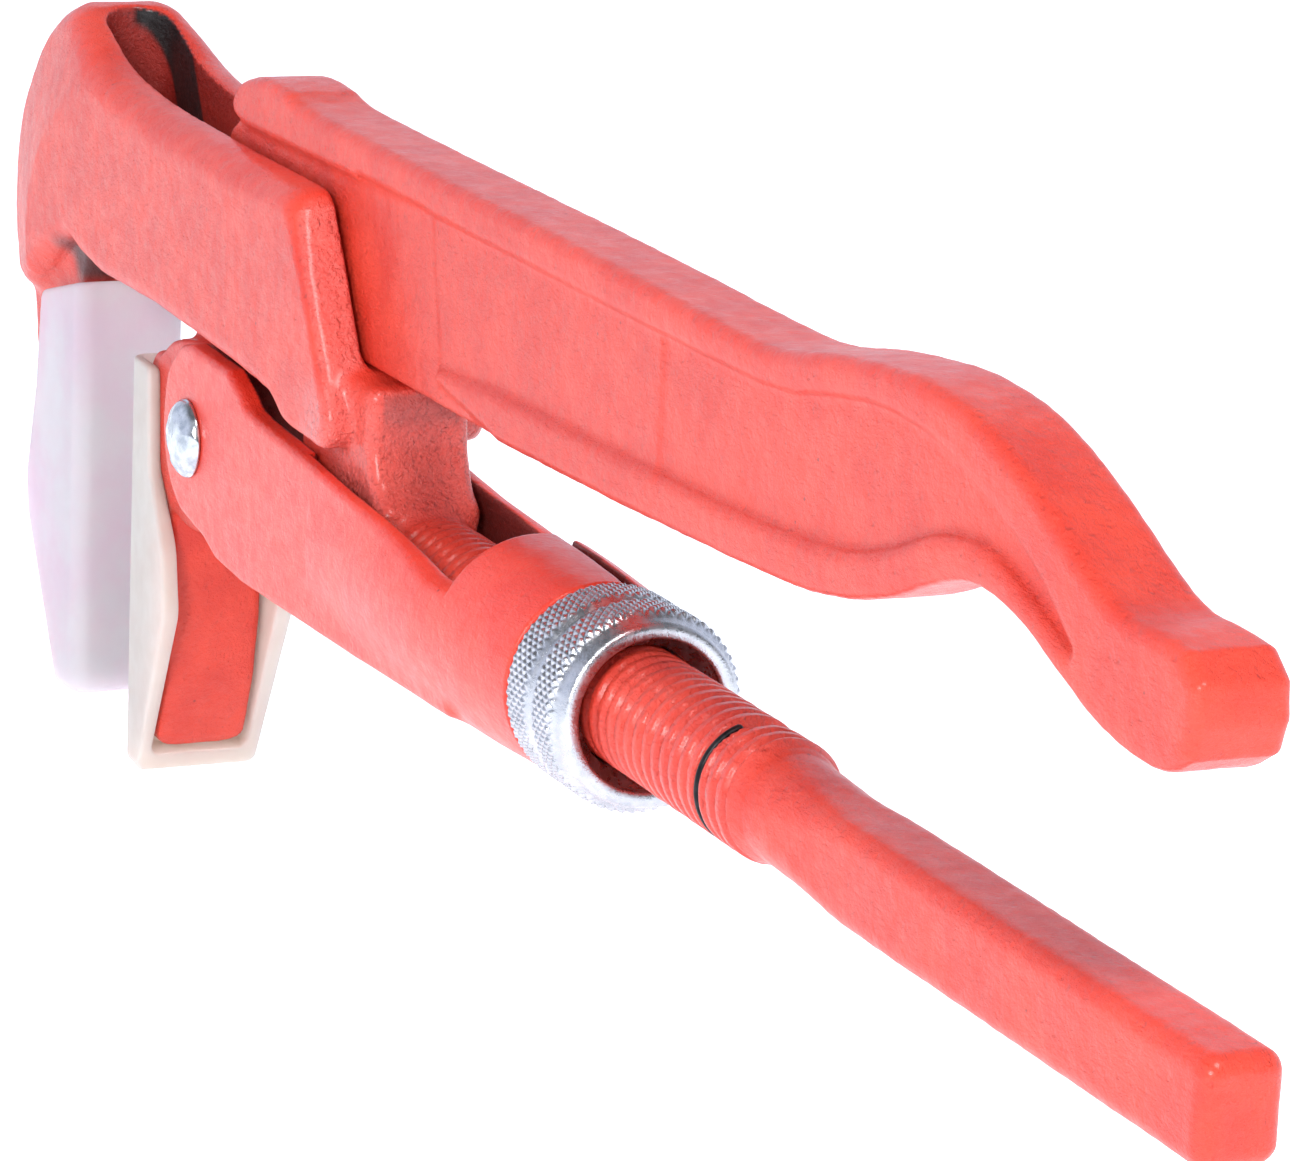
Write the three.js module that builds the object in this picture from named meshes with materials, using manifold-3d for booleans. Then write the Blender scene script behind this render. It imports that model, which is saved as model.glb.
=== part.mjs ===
// Corner pipe wrench. Millimetres, +X towards the handles, +Y across the thickness, +Z up.
// Outlines are written in the stem's frame: the origin is on the stem's axis, where the sleeve meets
// the nut. The finished group is moved so that its origin is at the bottom centre of its bounding box.
import * as THREE from "three";
import { mergeVertices } from "three/addons/utils/BufferGeometryUtils.js";
import Module from "manifold-3d";

const wasm = await Module();
wasm.setup();

// Place of the stem's frame in the part.
const STEM_SHIFT = 26;
const STEM_HEIGHT = 45.5;

// Thread and what runs on it.
const THREAD_RADIUS = 6.5;
const THREAD_DEPTH = 0.9;
const THREAD_PITCH = 2.2;
const THREAD_FRONT = -48;
const THREAD_REAR = 47;
const RING_X = 37.7;
const RING_WIRE = 0.45;
const RING_START_ANGLE = 1.9;
const RING_GAP_ANGLE = 1.2;

// Head and hook jaw.
const HEAD_HALF = 10;
const SLOT_HALF = 4.5;
const SLOT_SHIFT = 0.2;
const SLOT_END = -153;
const JAW_HALF = 6;
const HOOK_FACE = -156;
const TOOTH_PITCH = 2.5;
const TOOTH_DEPTH = 0.8;

// The lower handle's axis lies this far below the stem's.
const HANDLE_DROP = -0.8;

// Lever arm.
const FLANGE_HALF = 4.8;
const WEB_HALF = 3.6;
const BOSS_HALF = 6.2;
const MOVING_FACE = -130;

// Fork sleeve and rivet.
const CHEEK_OUTER = 9.2;
const CHEEK_INNER = 6.6;
const CHANNEL_HALF = 7.3;
const SLEEVE_RADIUS = 10.7;
const SLEEVE_REAR = -0.3;
const TUBE_FRONT = -20;
const CHANNEL_FRONT = -62;
const PIVOT_X = -105;
const PIVOT_Z = 3;
const RIVET_SHANK = 3;
const RIVET_HOLE = 3.1;
const RIVET_HEAD = 4.85;
const RIVET_DOME = 2.1;

// Nut and its retaining ring.
const NUT_RADIUS = 11.02;
const NUT_LENGTH = 13.4;
const NUT_FACE_RADIUS = 9.82;
const NUT_BORE = 6.85;
const NUT_COUNTERBORE = 8.16;
const COLLAR_RADIUS = 8.3;
const COLLAR_FRONT = -6;
const RETAINER_X = -3;
const RETAINER_WIDTH = 1.2;

// Jaw caps.
const CAP_WALL = 1.1;

const ROUND = 40;

// ---- helpers ----

function solidOf(geometry) {
  const bare = new THREE.BufferGeometry();
  bare.setAttribute("position", geometry.getAttribute("position").clone());
  bare.setIndex(geometry.index);
  const merged = mergeVertices(bare, 1e-4);
  const corners = merged.index.array;
  const triangles = [];
  for (let i = 0; i < corners.length; i += 3) {
    const [a, b, c] = [corners[i], corners[i + 1], corners[i + 2]];
    if (a !== b && b !== c && c !== a) triangles.push(a, b, c);
  }
  const vertProperties = new Float32Array(merged.getAttribute("position").array);
  const make = () => {
    const triVerts = new Uint32Array(triangles);
    return new wasm.Manifold(new wasm.Mesh({ numProp: 3, vertProperties, triVerts }));
  };
  const solid = make();
  if (solid.volume() > 0) return solid;
  triangles.reverse();
  return make();
}

function meshOf(name, solid, look) {
  const { vertProperties, triVerts } = solid.getMesh();
  const geometry = new THREE.BufferGeometry();
  geometry.setAttribute("position", new THREE.BufferAttribute(vertProperties, 3));
  geometry.setIndex(new THREE.BufferAttribute(triVerts, 1));
  const flat = geometry.toNonIndexed();
  flat.computeVertexNormals();
  const mesh = new THREE.Mesh(flat, new THREE.MeshStandardMaterial(look));
  mesh.name = name;
  return mesh;
}

const union = (solids) => solids.reduce((whole, next) => whole.add(next));

function smooth(points, count) {
  const curve = new THREE.SplineCurve(points.map(([x, z]) => new THREE.Vector2(x, z)));
  return curve.getPoints(count).map((p) => [p.x, p.y]);
}

// A plate with this side outline between two values of y, its edges rounded by `edge`.
function plate(outline, yFrom, yTo, edge = 0) {
  const shape = new THREE.Shape(outline.map(([x, z]) => new THREE.Vector2(x, z)));
  const geometry = new THREE.ExtrudeGeometry(shape, {
    depth: yTo - yFrom - 2 * edge,
    bevelEnabled: edge > 0,
    bevelThickness: edge,
    bevelSize: edge,
    bevelOffset: -edge,
    bevelSegments: 2,
  });
  geometry.rotateX(Math.PI / 2);
  geometry.translate(0, yTo - edge, 0);
  return solidOf(geometry);
}

const slab = (outline, half, edge) => plate(outline, -half, half, edge);

function block(x0, x1, y0, y1, z0, z1) {
  return plate([[x0, z0], [x1, z0], [x1, z1], [x0, z1]], y0, y1);
}

// A body turned about the stem's axis from [x, radius] points that start and end on the axis.
function turned(profile, segments = ROUND) {
  const points = profile.map(([x, r]) => new THREE.Vector2(r, x));
  const geometry = new THREE.LatheGeometry(points, segments);
  geometry.rotateZ(-Math.PI / 2);
  return solidOf(geometry);
}

const rod = (x0, x1, r, segments) => turned([[x0, 0], [x0, r], [x1, r], [x1, 0]], segments);

// A rod along y through the pivot, from [y, radius] points that start and end on its axis.
function pivotTurned(profile, segments = 32) {
  const points = profile.map(([y, r]) => new THREE.Vector2(r, y));
  const geometry = new THREE.LatheGeometry(points, segments);
  geometry.translate(PIVOT_X, 0, PIVOT_Z);
  return solidOf(geometry);
}

// A right-hand thread: crest and root lines follow the helix, two rows of points to a pitch, so that
// the end of each row is the start of the row one pitch further on.
function threadedRod(x0, x1) {
  const around = 24;
  const rows = (Math.ceil((x1 - x0) / THREAD_PITCH) + 4) * 2 + 1;
  const positions = [];
  const index = [];
  for (let row = 0; row < rows; row++) {
    const radius = row % 2 ? THREAD_RADIUS - THREAD_DEPTH : THREAD_RADIUS;
    for (let i = 0; i <= around; i++) {
      const angle = (i / around) * 2 * Math.PI;
      const x = x0 + (row / 2 + i / around - 2) * THREAD_PITCH;
      positions.push(x, radius * Math.cos(angle), radius * Math.sin(angle));
    }
  }
  const at = (row, i) => row * (around + 1) + i;
  for (let row = 0; row < rows - 1; row++) {
    for (let i = 0; i < around; i++) {
      index.push(at(row, i), at(row, i + 1), at(row + 1, i + 1));
      index.push(at(row, i), at(row + 1, i + 1), at(row + 1, i));
    }
  }
  // Each end is closed by a fan around its rim: one row, and the two steps back to that row's start.
  const last = rows - 1;
  const startRim = [at(2, 0), at(1, 0)];
  const endRim = [at(last - 2, around), at(last - 1, around), at(last, around)];
  for (let i = 0; i <= around; i++) startRim.push(at(0, i));
  for (let i = around - 1; i >= 0; i--) endRim.push(at(last, i));
  for (const rim of [startRim, endRim]) {
    const hub = positions.length / 3;
    positions.push(positions[rim[around / 2] * 3], 0, 0);
    for (let k = 0; k < rim.length - 1; k++) index.push(hub, rim[k + 1], rim[k]);
  }
  const geometry = new THREE.BufferGeometry();
  geometry.setAttribute("position", new THREE.Float32BufferAttribute(positions, 3));
  geometry.setIndex(index);
  return solidOf(geometry);
}

// ---- hook arm ----

function threadSolid() {
  const trim = turned([
    [THREAD_FRONT - 1, 0],
    [THREAD_FRONT - 1, THREAD_RADIUS + 0.5],
    [THREAD_REAR - 1.5, THREAD_RADIUS + 0.5],
    [THREAD_REAR, THREAD_RADIUS - THREAD_DEPTH],
    [THREAD_REAR, 0],
  ]);
  return threadedRod(THREAD_FRONT, THREAD_REAR).intersect(trim);
}

function headSolid() {
  const crown = smooth(
    [[-96, 39.9], [-118, 40.4], [-132, 41.2], [-143, 42.9], [-151, 45.9], [-157.5, 48.4]],
    14,
  );
  const spine = smooth(
    [[-160.5, 48.4], [-166, 46.7], [-171.5, 43.8], [-177.5, 38.6], [-182.3, 31], [-183.5, 24], [-182.3, 16],
      [-177.5, 8.5]],
    18,
  );
  const outline = [
    [-71.5, 39.6],
    ...crown,
    ...spine,
    [-172, 8.5],
    [-162, 15],
    [-154, 19],
    [-148, 17.5],
    [-140, 16.4],
    [-120, 16.6],
    [-104, 16],
    [-91, 15.4],
    [-84, 14.9],
    [-75, 14.8],
    [-71, 12.4],
    [-58, 12],
    [-56, 15],
    [-58.4, 20],
    [-69.5, 38],
  ];
  return slab(outline, HEAD_HALF, 2.4);
}

function hookJawSolid() {
  const jaw = [
    [-150, 22],
    [-153.5, 18],
    [HOOK_FACE, 13.9],
    [HOOK_FACE, -40],
    [-158, -41.8],
    [-163, -41.8],
    [-166, -39],
    [-173, -20],
    [-176.5, 0],
    [-178.5, 12],
    [-172, 26],
  ];
  return slab(jaw, JAW_HALF, 1);
}

// A prism of teeth that bites into a jaw face looking towards `side` (+1 or -1 along x).
function teeth(face, side, zFrom, zTo) {
  const outline = [[face + side * 3, zFrom]];
  const count = Math.floor((zTo - zFrom) / TOOTH_PITCH);
  for (let i = 0; i < count; i++) {
    const z = zFrom + i * TOOTH_PITCH;
    outline.push([face, z]);
    outline.push([face - side * TOOTH_DEPTH, z + TOOTH_PITCH * 0.85]);
  }
  const last = zFrom + count * TOOTH_PITCH;
  outline.push([face, last], [face + side * 3, last]);
  return plate(outline, -JAW_HALF - 1, JAW_HALF + 1);
}

function neckSolid() {
  const neck = [
    [-76, 20.2],
    [-74, 6],
    [-66, 4],
    [-48, 4],
    [-47.5, 7],
    [-50.5, 9],
    [-52, 13],
    [-52.6, 20.2],
  ];
  const rear = THREAD_FRONT + 2;
  const stem = turned([[-73, 0], [-73, 4.5], [-71, THREAD_RADIUS], [rear, THREAD_RADIUS], [rear, 0]]);
  return slab(neck, 6.2, 1.2).add(stem);
}

// The lower handle, from its round start at the thread to its squared end.
function lowerHandleSolid() {
  // Each ring: x, half height, half width, and how round its corners are (1 is an ellipse).
  const rings = [
    [44, 5.6, 5.6, 1],
    [50, 5.3, 5, 0.95],
    [60, 5.1, 4.4, 0.85],
    [115, 5, 4.2, 0.8],
    [126, 4.8, 4.2, 0.62],
    [129.8, 4.5, 3.9, 0.6],
    [131.5, 3.7, 3.1, 0.6],
  ];
  const around = 32;
  const positions = [];
  const index = [];
  for (const [x, halfHeight, halfWidth, power] of rings) {
    const drop = HANDLE_DROP * Math.min(1, (x - 44) / 20);
    for (let i = 0; i < around; i++) {
      const angle = (i / around) * 2 * Math.PI;
      const [c, s] = [Math.cos(angle), Math.sin(angle)];
      const y = Math.sign(c) * Math.abs(c) ** power * halfWidth;
      const z = Math.sign(s) * Math.abs(s) ** power * halfHeight + drop;
      positions.push(x, y, z);
    }
  }
  for (let row = 0; row < rings.length - 1; row++) {
    for (let i = 0; i < around; i++) {
      const next = (i + 1) % around;
      const [a, b] = [row * around + i, row * around + next];
      index.push(a, b, b + around, a, b + around, a + around);
    }
  }
  const last = (rings.length - 1) * around;
  for (let i = 1; i < around - 1; i++) {
    index.push(0, i + 1, i);
    index.push(last, last + i, last + i + 1);
  }
  const geometry = new THREE.BufferGeometry();
  geometry.setAttribute("position", new THREE.Float32BufferAttribute(positions, 3));
  geometry.setIndex(index);
  return solidOf(geometry);
}

function hookArm() {
  const slot = union([
    block(SLOT_END, -77.5, SLOT_SHIFT - SLOT_HALF, SLOT_SHIFT + SLOT_HALF, 0, 60),
    block(-80, -40, SLOT_SHIFT - SLOT_HALF, SLOT_SHIFT + SLOT_HALF, 20.2, 60),
    slotEnd(),
  ]);
  const ringGroove = turned([
    [RING_X - 0.8, 5.4],
    [RING_X - 0.8, 8],
    [RING_X + 0.8, 8],
    [RING_X + 0.8, 5.4],
    [RING_X - 0.8, 5.4],
  ]);
  return headSolid()
    .add(hookJawSolid())
    .subtract(slot)
    .subtract(teeth(HOOK_FACE, 1, -39, 9))
    .add(neckSolid())
    .add(threadSolid())
    .add(lowerHandleSolid())
    .subtract(ringGroove);
}

// The round front end of the head's slot.
function slotEnd() {
  const geometry = new THREE.CylinderGeometry(SLOT_HALF, SLOT_HALF, 60, 24);
  geometry.rotateX(Math.PI / 2);
  geometry.translate(SLOT_END, SLOT_SHIFT, 30);
  return solidOf(geometry);
}

// ---- lever arm ----

const LEVER_TOP = smooth(
  [[-105.3, 44.6], [-102.5, 47.2], [-95, 48.8], [-87, 48.6], [-79, 47.5], [-50, 46.9], [0, 46.2],
    [36, 45.3], [47, 45.6], [57, 47.3], [70, 48.7], [79, 48.7], [88, 47.3], [98, 43.8], [107, 39.5],
    [113.5, 37.2], [119, 37.1], [124, 36.7]],
  60,
);
const LEVER_BOTTOM = smooth(
  [[126, 28], [122.5, 26], [118, 25.6], [111, 26.6], [104, 29], [97, 31.6], [90, 32.9], [84, 32.4],
    [77, 30], [70, 27.2], [60, 24.8], [48, 23.6], [20, 22.4], [-20, 21.4]],
  44,
);

function handleSolid() {
  const outline = [
    ...LEVER_TOP,
    [126.6, 34.5],
    [127, 31],
    ...LEVER_BOTTOM,
    [-26, 24],
    [-30, 41.9],
    [-101.5, 41.9],
    [-104.4, 42.8],
  ];
  return slab(outline, FLANGE_HALF, 1);
}

function webRecess() {
  const upper = smooth(
    [[-40, 42], [15, 41.4], [45, 41.4], [56, 43], [66, 44.4], [76, 44.2], [84, 42.6], [92, 39.9],
      [99, 36.7], [105.5, 32]],
    20,
  );
  const lower = smooth(
    [[99, 34.3], [92, 36.6], [86, 37], [79, 35.6], [72, 32.8], [64, 30.5], [53, 29.1], [31, 28],
      [-20, 27], [-40, 26]],
    20,
  );
  return plate([...upper, ...lower], WEB_HALF, FLANGE_HALF + 1);
}

function bladeSolid() {
  const outline = [
    [20, 44],
    [-102, 44],
    [-107, 41],
    [-114, 34],
    [-117, 24],
    [-119, 12],
    [-100, 8],
    [-97.5, 14],
    [-96, 19],
    [-91, 21.3],
    [-20, 21.4],
    [20, 22.4],
  ];
  return slab(outline, WEB_HALF, 0.5);
}

function bossSolid() {
  const outline = smooth(
    [[-126.4, 3], [-125, 9], [-120.8, 12.6], [-113, 14], [-101, 14], [-94.5, 9], [-93, 3], [-95.5, -5],
      [-103, -9], [-110, -10.7], [-116, -10.7], [-120.8, -8.6], [-124.9, -3.2]],
    36,
  );
  return slab(outline, BOSS_HALF, 0.8);
}

function movingJawSolid() {
  const outline = [
    [-127, 9.5],
    [MOVING_FACE, 6],
    [MOVING_FACE, -39],
    [-128.5, -42],
    [-125, -42.5],
    [-123.8, -41],
    [-120.8, -33],
    [-119, -24],
    [-119, -10],
    [-113, 0],
    [-115, 8],
  ];
  return slab(outline, JAW_HALF, 0.8);
}

function leverArm() {
  const recess = webRecess();
  const hole = pivotTurned([[-12, 0], [-12, RIVET_HOLE], [12, RIVET_HOLE], [12, 0]]);
  return handleSolid()
    .subtract(recess)
    .subtract(recess.mirror([0, 1, 0]))
    .add(bladeSolid())
    .add(bossSolid())
    .add(movingJawSolid())
    .subtract(teeth(MOVING_FACE, -1, -38, 6))
    .subtract(hole);
}

// ---- fork sleeve, rivet, nut, rings ----

const CHEEK_TOP = [[-108.8, 13.9], [-105.5, 14.6], [-92, 14.2], [-87.4, 12.4], [-85, 11], [-81, 10.4],
  [-66, 9.6], [-35, 6.8], [-24.4, 5.4], [-19, 5.4]];
const CHEEK_BOTTOM = [[-19, -8.5], [-48, -9.6], [-85.7, -10.4], [-94.7, -9.8], [-99, -8.3]];

function forkSleeve() {
  const front = smooth([[-108, -6.8], [-112, -3.9], [-114.5, 1], [-114.5, 6], [-113, 10.3], [-108.8, 13.9]], 12);
  const cheeks = slab([...front.slice(0, -1), ...CHEEK_TOP, ...CHEEK_BOTTOM], CHEEK_OUTER, 0.7);
  const between = block(-130, CHANNEL_FRONT, -CHEEK_INNER, CHEEK_INNER, -20, 30);
  const belly = [[-50, 10.4], [-38, 11.3], [-25, 11.7], [-12, 11.4], [-4, 11]];
  const shell = turned([
    [CHANNEL_FRONT, 0],
    [CHANNEL_FRONT, 9.6],
    ...belly,
    [SLEEVE_REAR, SLEEVE_RADIUS],
    [SLEEVE_REAR, 0],
  ]);
  const above = plate([[-130, 40], [-130, 11], [-81, 10.4], ...CHEEK_TOP.slice(6), [-19, 40]], -20, 20);
  const bore = rod(CHANNEL_FRONT - 5, 5, CHANNEL_HALF);
  const channel = block(CHANNEL_FRONT - 5, TUBE_FRONT, -CHANNEL_HALF, CHANNEL_HALF, 0, 30);
  const slit = block(TUBE_FRONT - 1, 2, 2.6, 4.4, 5, 20);
  const seat = rod(COLLAR_FRONT - 0.6, 2, COLLAR_RADIUS + 0.5);
  const grooveHalf = RETAINER_WIDTH / 2 + 0.1;
  const groove = rod(RETAINER_X - grooveHalf, RETAINER_X + grooveHalf, 9.4);
  const hole = pivotTurned([[-12, 0], [-12, RIVET_HOLE], [12, RIVET_HOLE], [12, 0]]);
  return cheeks
    .subtract(between)
    .add(shell.subtract(above))
    .subtract(bore)
    .subtract(channel)
    .subtract(slit)
    .subtract(seat)
    .subtract(groove)
    .subtract(hole);
}

function pivotRivet() {
  const seat = CHEEK_OUTER + 0.1;
  const dome = (side) => [
    [side * seat, RIVET_HEAD],
    [side * (seat + RIVET_DOME * 0.45), RIVET_HEAD * 0.93],
    [side * (seat + RIVET_DOME * 0.8), RIVET_HEAD * 0.68],
    [side * (seat + RIVET_DOME * 0.97), RIVET_HEAD * 0.32],
    [side * (seat + RIVET_DOME), 0],
  ];
  const near = dome(-1).reverse();
  return pivotTurned([...near, [-seat, RIVET_SHANK], [seat, RIVET_SHANK], ...dome(1)]);
}

function adjustingNut() {
  return turned([
    [COLLAR_FRONT, NUT_BORE],
    [COLLAR_FRONT, COLLAR_RADIUS],
    [RETAINER_X - RETAINER_WIDTH / 2 - 0.2, COLLAR_RADIUS],
    [RETAINER_X - RETAINER_WIDTH / 2 - 0.2, COLLAR_RADIUS - 0.5],
    [RETAINER_X + RETAINER_WIDTH / 2 + 0.2, COLLAR_RADIUS - 0.5],
    [RETAINER_X + RETAINER_WIDTH / 2 + 0.2, COLLAR_RADIUS],
    [0, COLLAR_RADIUS],
    [0, NUT_RADIUS - 0.5],
    [0.5, NUT_RADIUS],
    [5.3, NUT_RADIUS],
    [5.8, NUT_RADIUS - 0.6],
    [6.6, NUT_RADIUS - 0.6],
    [7.1, NUT_RADIUS],
    [11.2, NUT_RADIUS],
    [NUT_LENGTH - 0.4, NUT_FACE_RADIUS + 0.3],
    [NUT_LENGTH, NUT_FACE_RADIUS - 0.2],
    [NUT_LENGTH, NUT_COUNTERBORE],
    [11.2, NUT_COUNTERBORE],
    [10.4, NUT_BORE],
    [COLLAR_FRONT, NUT_BORE],
  ], 48);
}

function nutRetainer() {
  const inner = COLLAR_RADIUS - 0.25;
  const outer = 9.25;
  const [x0, x1] = [RETAINER_X - RETAINER_WIDTH / 2, RETAINER_X + RETAINER_WIDTH / 2];
  return turned([[x0, inner], [x0, outer], [x1, outer], [x1, inner], [x0, inner]]);
}

class RingPath extends THREE.Curve {
  getPoint(t, target = new THREE.Vector3()) {
    const angle = RING_START_ANGLE + t * (2 * Math.PI - RING_GAP_ANGLE);
    const radius = THREAD_RADIUS - RING_WIRE;
    return target.set(RING_X, radius * Math.cos(angle), radius * Math.sin(angle));
  }
}

function stopRing() {
  const wire = new THREE.Shape();
  wire.absarc(0, 0, RING_WIRE, 0, 2 * Math.PI);
  const geometry = new THREE.ExtrudeGeometry(wire, {
    steps: 40,
    curveSegments: 5,
    extrudePath: new RingPath(),
  });
  return solidOf(geometry);
}

// ---- jaw caps ----

// A trough that covers a jaw face. Its side walls thicken from the closed face to the open rim.
// rim: side-view outline of the open edge, top to bottom. face: x of the outer side of the closed face.
// top: height of the closed face's upper edge, from where the side walls' upper edges run to the rim.
// cavityHalf: half the width of the space for the jaw. floor: thickness below the jaw.
function jawCap({ face, side, top, bottom, rim, halfAtFace, halfAtRim, cavityHalf, floor }) {
  const depth = Math.max(...rim.map(([x]) => Math.abs(x - face)));
  const trough = (start, halfFace, halfRim, zTop, zBottom) => {
    const plan = new THREE.Shape([
      new THREE.Vector2(start, -halfFace),
      new THREE.Vector2(face + side * depth * 1.2, -halfRim),
      new THREE.Vector2(face + side * depth * 1.2, halfRim),
      new THREE.Vector2(start, halfFace),
    ]);
    const geometry = new THREE.ExtrudeGeometry(plan, { depth: zTop - zBottom, bevelEnabled: false });
    geometry.translate(0, 0, zBottom);
    return solidOf(geometry);
  };
  const outer = trough(face, halfAtFace, halfAtRim, top + 1, bottom);
  const inner = trough(face + side * CAP_WALL, cavityHalf, cavityHalf, top + 5, bottom + floor);
  const trim = slab([[face - side * 2, top], ...rim, [face - side * 2, bottom - 8]], 20);
  return outer.subtract(inner).intersect(trim);
}

function hookJawCap() {
  return jawCap({
    face: -154.2,
    side: -1,
    top: 13.2,
    bottom: -43.4,
    halfAtFace: 7.3,
    halfAtRim: 8.7,
    cavityHalf: 6.3,
    floor: 1.1,
    rim: [[-168, 9], [-169.5, -4], [-172.5, -17], [-171.8, -22], [-160.5, -44], [-157, -52]],
  });
}

function movingJawCap() {
  return jawCap({
    face: -132.2,
    side: 1,
    top: 7.8,
    bottom: -45.5,
    halfAtFace: 7.6,
    halfAtRim: 9,
    cavityHalf: 6.5,
    floor: 2.4,
    rim: [[-123.4, 7.8], [-122.6, -5], [-116, -13.5], [-114.4, -22], [-125.5, -45.5], [-128.6, -52]],
  });
}

// ---- looks and assembly ----

const PAINT = { color: 0xe8453f, roughness: 0.42, metalness: 0 };
const ZINC = { color: 0xc9ccd2, roughness: 0.38, metalness: 0.9 };
const STEEL = { color: 0xb4b9bf, roughness: 0.3, metalness: 1 };
const BLACK = { color: 0x1c1c1f, roughness: 0.45, metalness: 0.6 };
const LILAC_PLASTIC = { color: 0xdccbd8, roughness: 0.5, metalness: 0 };
const MILKY_PLASTIC = { color: 0xdfd6cc, roughness: 0.5, metalness: 0 };

const group = new THREE.Group();
group.name = "pipe_wrench";
group.add(
  meshOf("hook_arm", hookArm(), PAINT),
  meshOf("lever_arm", leverArm(), PAINT),
  meshOf("fork_sleeve", forkSleeve(), PAINT),
  meshOf("adjusting_nut", adjustingNut(), ZINC),
  meshOf("pivot_rivet", pivotRivet(), STEEL),
  meshOf("stop_ring", stopRing(), BLACK),
  meshOf("nut_retainer", nutRetainer(), STEEL),
  meshOf("hook_jaw_cap", hookJawCap(), LILAC_PLASTIC),
  meshOf("moving_jaw_cap", movingJawCap(), MILKY_PLASTIC),
);
group.position.set(STEM_SHIFT, 0, STEM_HEIGHT);

export default group;
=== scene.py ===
"""Looks of the corner pipe wrench: forged, dip-coated arms and sleeve, a knurled nut, a hammered
rivet, a wire stop ring and two soft translucent jaw caps.

Shapes are written in millimetres in the stem's frame: origin on the stem's axis where the sleeve
meets the nut, +X towards the handles, +Y across the thickness, +Z up. Each forging is a signed
distance field, negative inside, whose parts are joined with soft fillets and then meshed.
"""

import math

import bpy
import numpy as np
from mathutils import Matrix, Vector, noise


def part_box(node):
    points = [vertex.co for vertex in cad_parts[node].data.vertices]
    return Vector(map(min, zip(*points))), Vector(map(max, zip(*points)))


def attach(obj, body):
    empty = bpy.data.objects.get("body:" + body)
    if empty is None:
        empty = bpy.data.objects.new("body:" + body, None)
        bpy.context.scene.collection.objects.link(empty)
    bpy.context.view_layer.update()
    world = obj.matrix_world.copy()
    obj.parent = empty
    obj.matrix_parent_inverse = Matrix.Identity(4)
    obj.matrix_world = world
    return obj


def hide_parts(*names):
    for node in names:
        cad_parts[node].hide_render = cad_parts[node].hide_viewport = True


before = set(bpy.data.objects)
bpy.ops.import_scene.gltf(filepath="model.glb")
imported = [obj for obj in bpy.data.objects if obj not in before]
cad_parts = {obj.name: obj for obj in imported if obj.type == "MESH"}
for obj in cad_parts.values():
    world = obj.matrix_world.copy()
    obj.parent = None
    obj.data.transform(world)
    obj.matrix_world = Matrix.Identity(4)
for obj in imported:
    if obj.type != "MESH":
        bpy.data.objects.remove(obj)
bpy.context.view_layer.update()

MM = 0.001
NUT_LENGTH = 13.4

# The stem's frame in the part, from where the CAD's nut sits.
nut_low, nut_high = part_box("adjusting_nut")
ORIGIN = Vector((nut_high[0] - NUT_LENGTH * MM, 0.0, (nut_low[2] + nut_high[2]) / 2))

# Mesh steps in mm, and points round the nut.
COARSE = 0.45
FINE = 0.28
NUT_STEP = 0.16
NUT_AROUND = 720

# Cosine of the turn under which an outline's corner counts as part of a smooth stretch.
STRAIGHT = 0.94

# Thread and what runs on it.
THREAD_RADIUS = 6.5
THREAD_DEPTH = 1.0
# Half the width of the thread's groove, as a share of its pitch.
THREAD_GROOVE = 0.29
THREAD_PITCH = 2.2
THREAD_FRONT = -48.0
THREAD_REAR = 46.0
RING_X = 37.7
RING_WIRE = 0.45
RING_START = 1.9
RING_GAP = 1.2

# Head, slot and hook jaw.
HEAD_HALF = 10.0
SLOT_HALF = 4.5
SLOT_SHIFT = 0.2
SLOT_END = -153.0
SLOT_REAR = -77.5
SLOT_FLOOR = 20.2
NECK_HALF = 6.2
JAW_HALF = 6.0
HOOK_FACE = -156.0
TOOTH_PITCH = 2.5
TOOTH_DEPTH = 0.8

# Lower handle: its axis lies this far below the stem's.
HANDLE_DROP = 0.8
HANDLE_END = 131.5

# Lever arm.
FLANGE_HALF = 4.8
WEB_HALF = 3.6
BOSS_HALF = 6.2
MOVING_FACE = -130.0
MOVING_JAW_TOE = -42.5

# Fork sleeve and rivet.
CHEEK_OUTER = 9.2
CHEEK_INNER = 6.6
CHANNEL_HALF = 7.3
CHANNEL_FRONT = -62.0
TUBE_FRONT = -20.0
SLEEVE_RADIUS = 10.7
SLEEVE_REAR = -0.3
PIVOT_X = -105.0
PIVOT_Z = 3.0
RIVET_SHANK = 3.0
RIVET_HOLE = 3.1
RIVET_HEAD = 4.85
RIVET_DOME = 2.1

# Nut.
NUT_RADIUS = 11.02
NUT_BORE = 6.85
NUT_COUNTERBORE = 8.16
COLLAR_RADIUS = 8.3
COLLAR_FRONT = -6.0
KNURL_DEPTH = 0.42
KNURL_COUNT = 54

# Thickness of the jaw caps' closed faces.
CAP_WALL = 1.1

# Unevenness of the surfaces, as layers of (height, length) in mm.
FORGED_WAVES = ((0.05, 6.0), (0.05, 1.6))
COATED_WAVES = ((0.03, 5.0),)


# ---- distance fields ----

def smooth_line(points, count):
    """A Catmull-Rom curve through the points, as count + 1 points."""
    pts = np.array(points, float)
    padded = np.vstack([2 * pts[0] - pts[1], pts, 2 * pts[-1] - pts[-2]])
    out = []
    for step in range(count + 1):
        place = min(step / count * (len(pts) - 1), len(pts) - 1 - 1e-9)
        k = int(place)
        t = place - k
        p0, p1, p2, p3 = padded[k:k + 4]
        out.append(0.5 * (2 * p1 + (p2 - p0) * t + (2 * p0 - 5 * p1 + 4 * p2 - p3) * t**2
                          + (3 * p1 - p0 - 3 * p2 + p3) * t**3))
    return [tuple(p) for p in out]


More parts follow.
